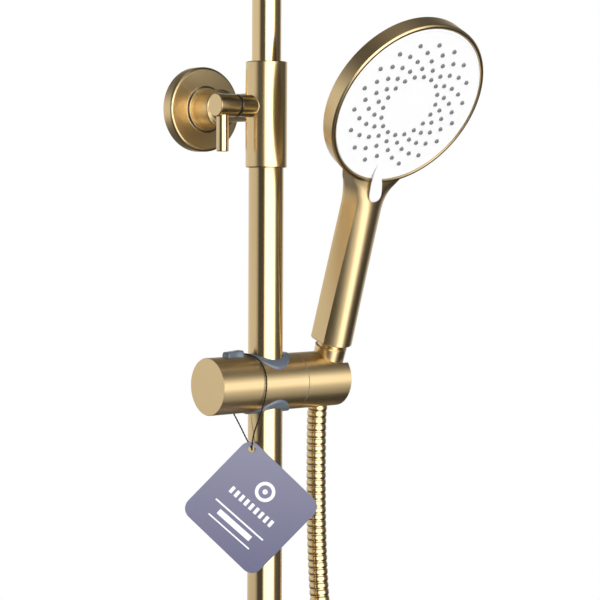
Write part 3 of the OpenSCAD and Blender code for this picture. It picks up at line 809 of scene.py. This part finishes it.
# ---------------------------------------------------------------- carried-over CAD nodes
CARRIED = {
    GRAIN_BARREL: ["slider_body", "holder"],
    GRAIN_X: ["mixer_body", "temp_handle", "flow_handle"],
    GRAIN_Z: ["column_nut", "hose_nut", "lock_pad"],
    GRAIN_Y: ["wall_unions", "inlet_nuts", "inlet_rosettes"],
    GRAIN_FINE: ["swivel_ball", "swivel_nut", "cone_nut", "rain_shell"],
    STEEL: ["wall_plate", "arm_grub_screw", "lock_screw", "rain_face", "inlet_filters",
            "temp_spindle", "flow_spindle", "holder_bolt"],
    SLATE: ["slider_liner"],
    GREY: ["collar_bush", "spray_distributor", "brake_sleeve", "holder_ring"],
    PALE: ["seal_carrier", "ball_seat", "temp_cartridge", "flow_cartridge"],
    BLACK: ["temp_stop_button"],
    NOZZLE: ["rain_nozzles"],
    RUBBER: ["riser_seals", "rain_gasket", "column_washer", "outlet_washer", "cone_washer"],
    CARD: ["tag_card"],
}


FLAT_END = 0.95


def dress(node, material):
    """Gives a carried node its material, with a second slot for a barrel's flat ends."""
    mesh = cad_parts[node].data
    mesh.materials.clear()
    for choice in (material, GRAIN_FINE if material == GRAIN_BARREL else material):
        mesh.materials.append(choice)
    for face in mesh.polygons:
        # The barrel's turned grain runs round it; its flat ends have their own
        face.material_index = 1 if abs(face.normal.x) > FLAT_END else 0
    mesh.shade_smooth()
    mesh.set_sharp_from_angle(angle=math.radians(SHARP))


for material, nodes in CARRIED.items():
    for node in nodes:
        dress(node, material)


# ---------------------------------------------------------------- light and floor
# Stops of (place, brightness). The bands go round the object, in degrees from the camera's side
BANDS = [(0.5 + angle / 360, value) for angle, value in (
    (-180, 0.28), (-140, 0.25), (-70, 0.25), (-56, 0.18), (-46, 0.03), (-12, 0.03), (-5, 0.5),
    (1, 1.0), (58, 1.0), (66, 0.3), (76, 0.05), (125, 0.025), (145, 0.2), (180, 0.28))]
LEVELS = [
    (0.0, 0.1), (0.2, 0.12), (0.32, 0.3), (0.42, 1.0), (0.6, 1.0), (0.7, 0.45),
    (0.82, 0.12), (0.93, 0.14), (1.0, 0.35)]
PANEL_BAND = [(0.0, 0), (0.53, 0), (0.565, 0.55), (0.63, 0.55), (0.66, 0), (1.0, 0)]
PANEL_LEVEL = [(0.0, 0), (0.07, 0), (0.12, 1), (0.28, 1), (0.36, 0), (1.0, 0)]
WORLD_AXES = ((-0.6239, -0.7815, 0), (0.7815, -0.6239, 0))
WORLD_STRENGTH = 3.4


def make_world():
    """A white studio as metal sees it: upright bright and dark bands, darker above and below."""
    world = bpy.data.worlds.new("studio")
    bpy.context.scene.world = world
    world.use_nodes = True
    tree = world.node_tree
    tree.nodes.clear()
    add = tree.nodes.new

    def ramp_of(stops):
        ramp = add("ShaderNodeValToRGB")
        while len(ramp.color_ramp.elements) < len(stops):
            ramp.color_ramp.elements.new(0.5)
        for element, (at, value) in zip(ramp.color_ramp.elements, stops):
            element.position = at
            element.color = (value, value, value, 1)
        return ramp

    def join_with(operation, a, b):
        node = add("ShaderNodeVectorMath")
        node.operation = operation
        tree.links.new(a, node.inputs[0])
        tree.links.new(b, node.inputs[1])
        return node

    coords = add("ShaderNodeTexCoord")
    parts = []
    for axis in WORLD_AXES:
        dot = add("ShaderNodeVectorMath")
        dot.operation = "DOT_PRODUCT"
        dot.inputs[1].default_value = axis
        tree.links.new(coords.outputs["Generated"], dot.inputs[0])
        parts.append(dot.outputs["Value"])
    join = add("ShaderNodeCombineXYZ")
    tree.links.new(parts[0], join.inputs[0])
    tree.links.new(parts[1], join.inputs[1])
    round_it = add("ShaderNodeTexGradient")
    round_it.gradient_type = "RADIAL"
    tree.links.new(join.outputs[0], round_it.inputs[0])
    bands = ramp_of(BANDS)
    tree.links.new(round_it.outputs["Color"], bands.inputs["Fac"])
    height = add("ShaderNodeSeparateXYZ")
    tree.links.new(coords.outputs["Generated"], height.inputs[0])
    level = ramp_of(LEVELS)
    to_unit = add("ShaderNodeMapRange")
    to_unit.inputs["From Min"].default_value = -1
    tree.links.new(height.outputs["Z"], to_unit.inputs["Value"])
    tree.links.new(to_unit.outputs["Result"], level.inputs["Fac"])
    both = join_with("MULTIPLY", bands.outputs["Color"], level.outputs["Color"])
    # A low panel in front, seen only by surfaces that lean forward
    low_band = ramp_of(PANEL_BAND)
    tree.links.new(round_it.outputs["Color"], low_band.inputs["Fac"])
    low_level = ramp_of(PANEL_LEVEL)
    tree.links.new(to_unit.outputs["Result"], low_level.inputs["Fac"])
    panel = join_with("MULTIPLY", low_band.outputs["Color"], low_level.outputs["Color"])
    both = join_with("ADD", both.outputs["Vector"], panel.outputs["Vector"])
    lit, plain = add("ShaderNodeBackground"), add("ShaderNodeBackground")
    choose = add("ShaderNodeMixShader")
    tree.links.new(both.outputs["Vector"], lit.inputs["Color"])
    lit.inputs["Strength"].default_value = WORLD_STRENGTH
    plain.inputs["Color"].default_value = (1, 1, 1, 1)
    path = add("ShaderNodeLightPath")
    tree.links.new(path.outputs["Is Camera Ray"], choose.inputs["Fac"])
    tree.links.new(lit.outputs["Background"], choose.inputs[1])
    tree.links.new(plain.outputs["Background"], choose.inputs[2])
    output = add("ShaderNodeOutputWorld")
    tree.links.new(choose.outputs["Shader"], output.inputs["Surface"])


FLOOR_R, FLOOR_DEEP, FLOOR_Y, FLOOR_Z, FLOOR_GLOW = 6000, 8, -200, -1950, 0.3


def make_floor():
    n = Nodes("floor_pale")
    fine = n.noise(60, 4)
    n.colour(n.mix(n.span(fine, 0, 1), (0.84, 0.84, 0.83), (0.88, 0.88, 0.87)))
    n.roughness(n.span(fine, 0.6, 0.75))
    profile = rounded([(0, -FLOOR_DEEP), (FLOOR_R, -FLOOR_DEEP), (FLOOR_R, 0, 6), (0, 0)])
    disc = Build().lathe(profile, shift(0, FLOOR_Y, FLOOR_Z), 128)
    n.set(Emission_Strength=FLOOR_GLOW)
    n.shader.inputs["Emission Color"].default_value = (1, 1, 1, 1)
    floor = disc.made("floor", n.material)
    floor.visible_glossy = False


# name, place, size, power
LIGHTS = [("key", (-1.2, -2.2, 1.3), 1.6, 17), ("fill", (1.8, -1.2, 0.6), 1.2, 8)]
LIT_POINT = Vector((0, -0.1, -0.2))


def make_lights():
    for name, place, size, power in LIGHTS:
        data = bpy.data.lights.new(name, "AREA")
        data.size, data.energy = size, power
        lamp = bpy.data.objects.new(name, data)
        bpy.context.collection.objects.link(lamp)
        lamp.visible_glossy = False
        lamp.location = place
        lamp.rotation_mode = "QUATERNION"
        lamp.rotation_quaternion = (LIT_POINT - Vector(place)).to_track_quat("-Z", "Y")


make_world()
make_floor()
make_lights()
bpy.context.scene.view_settings.view_transform = "Standard"
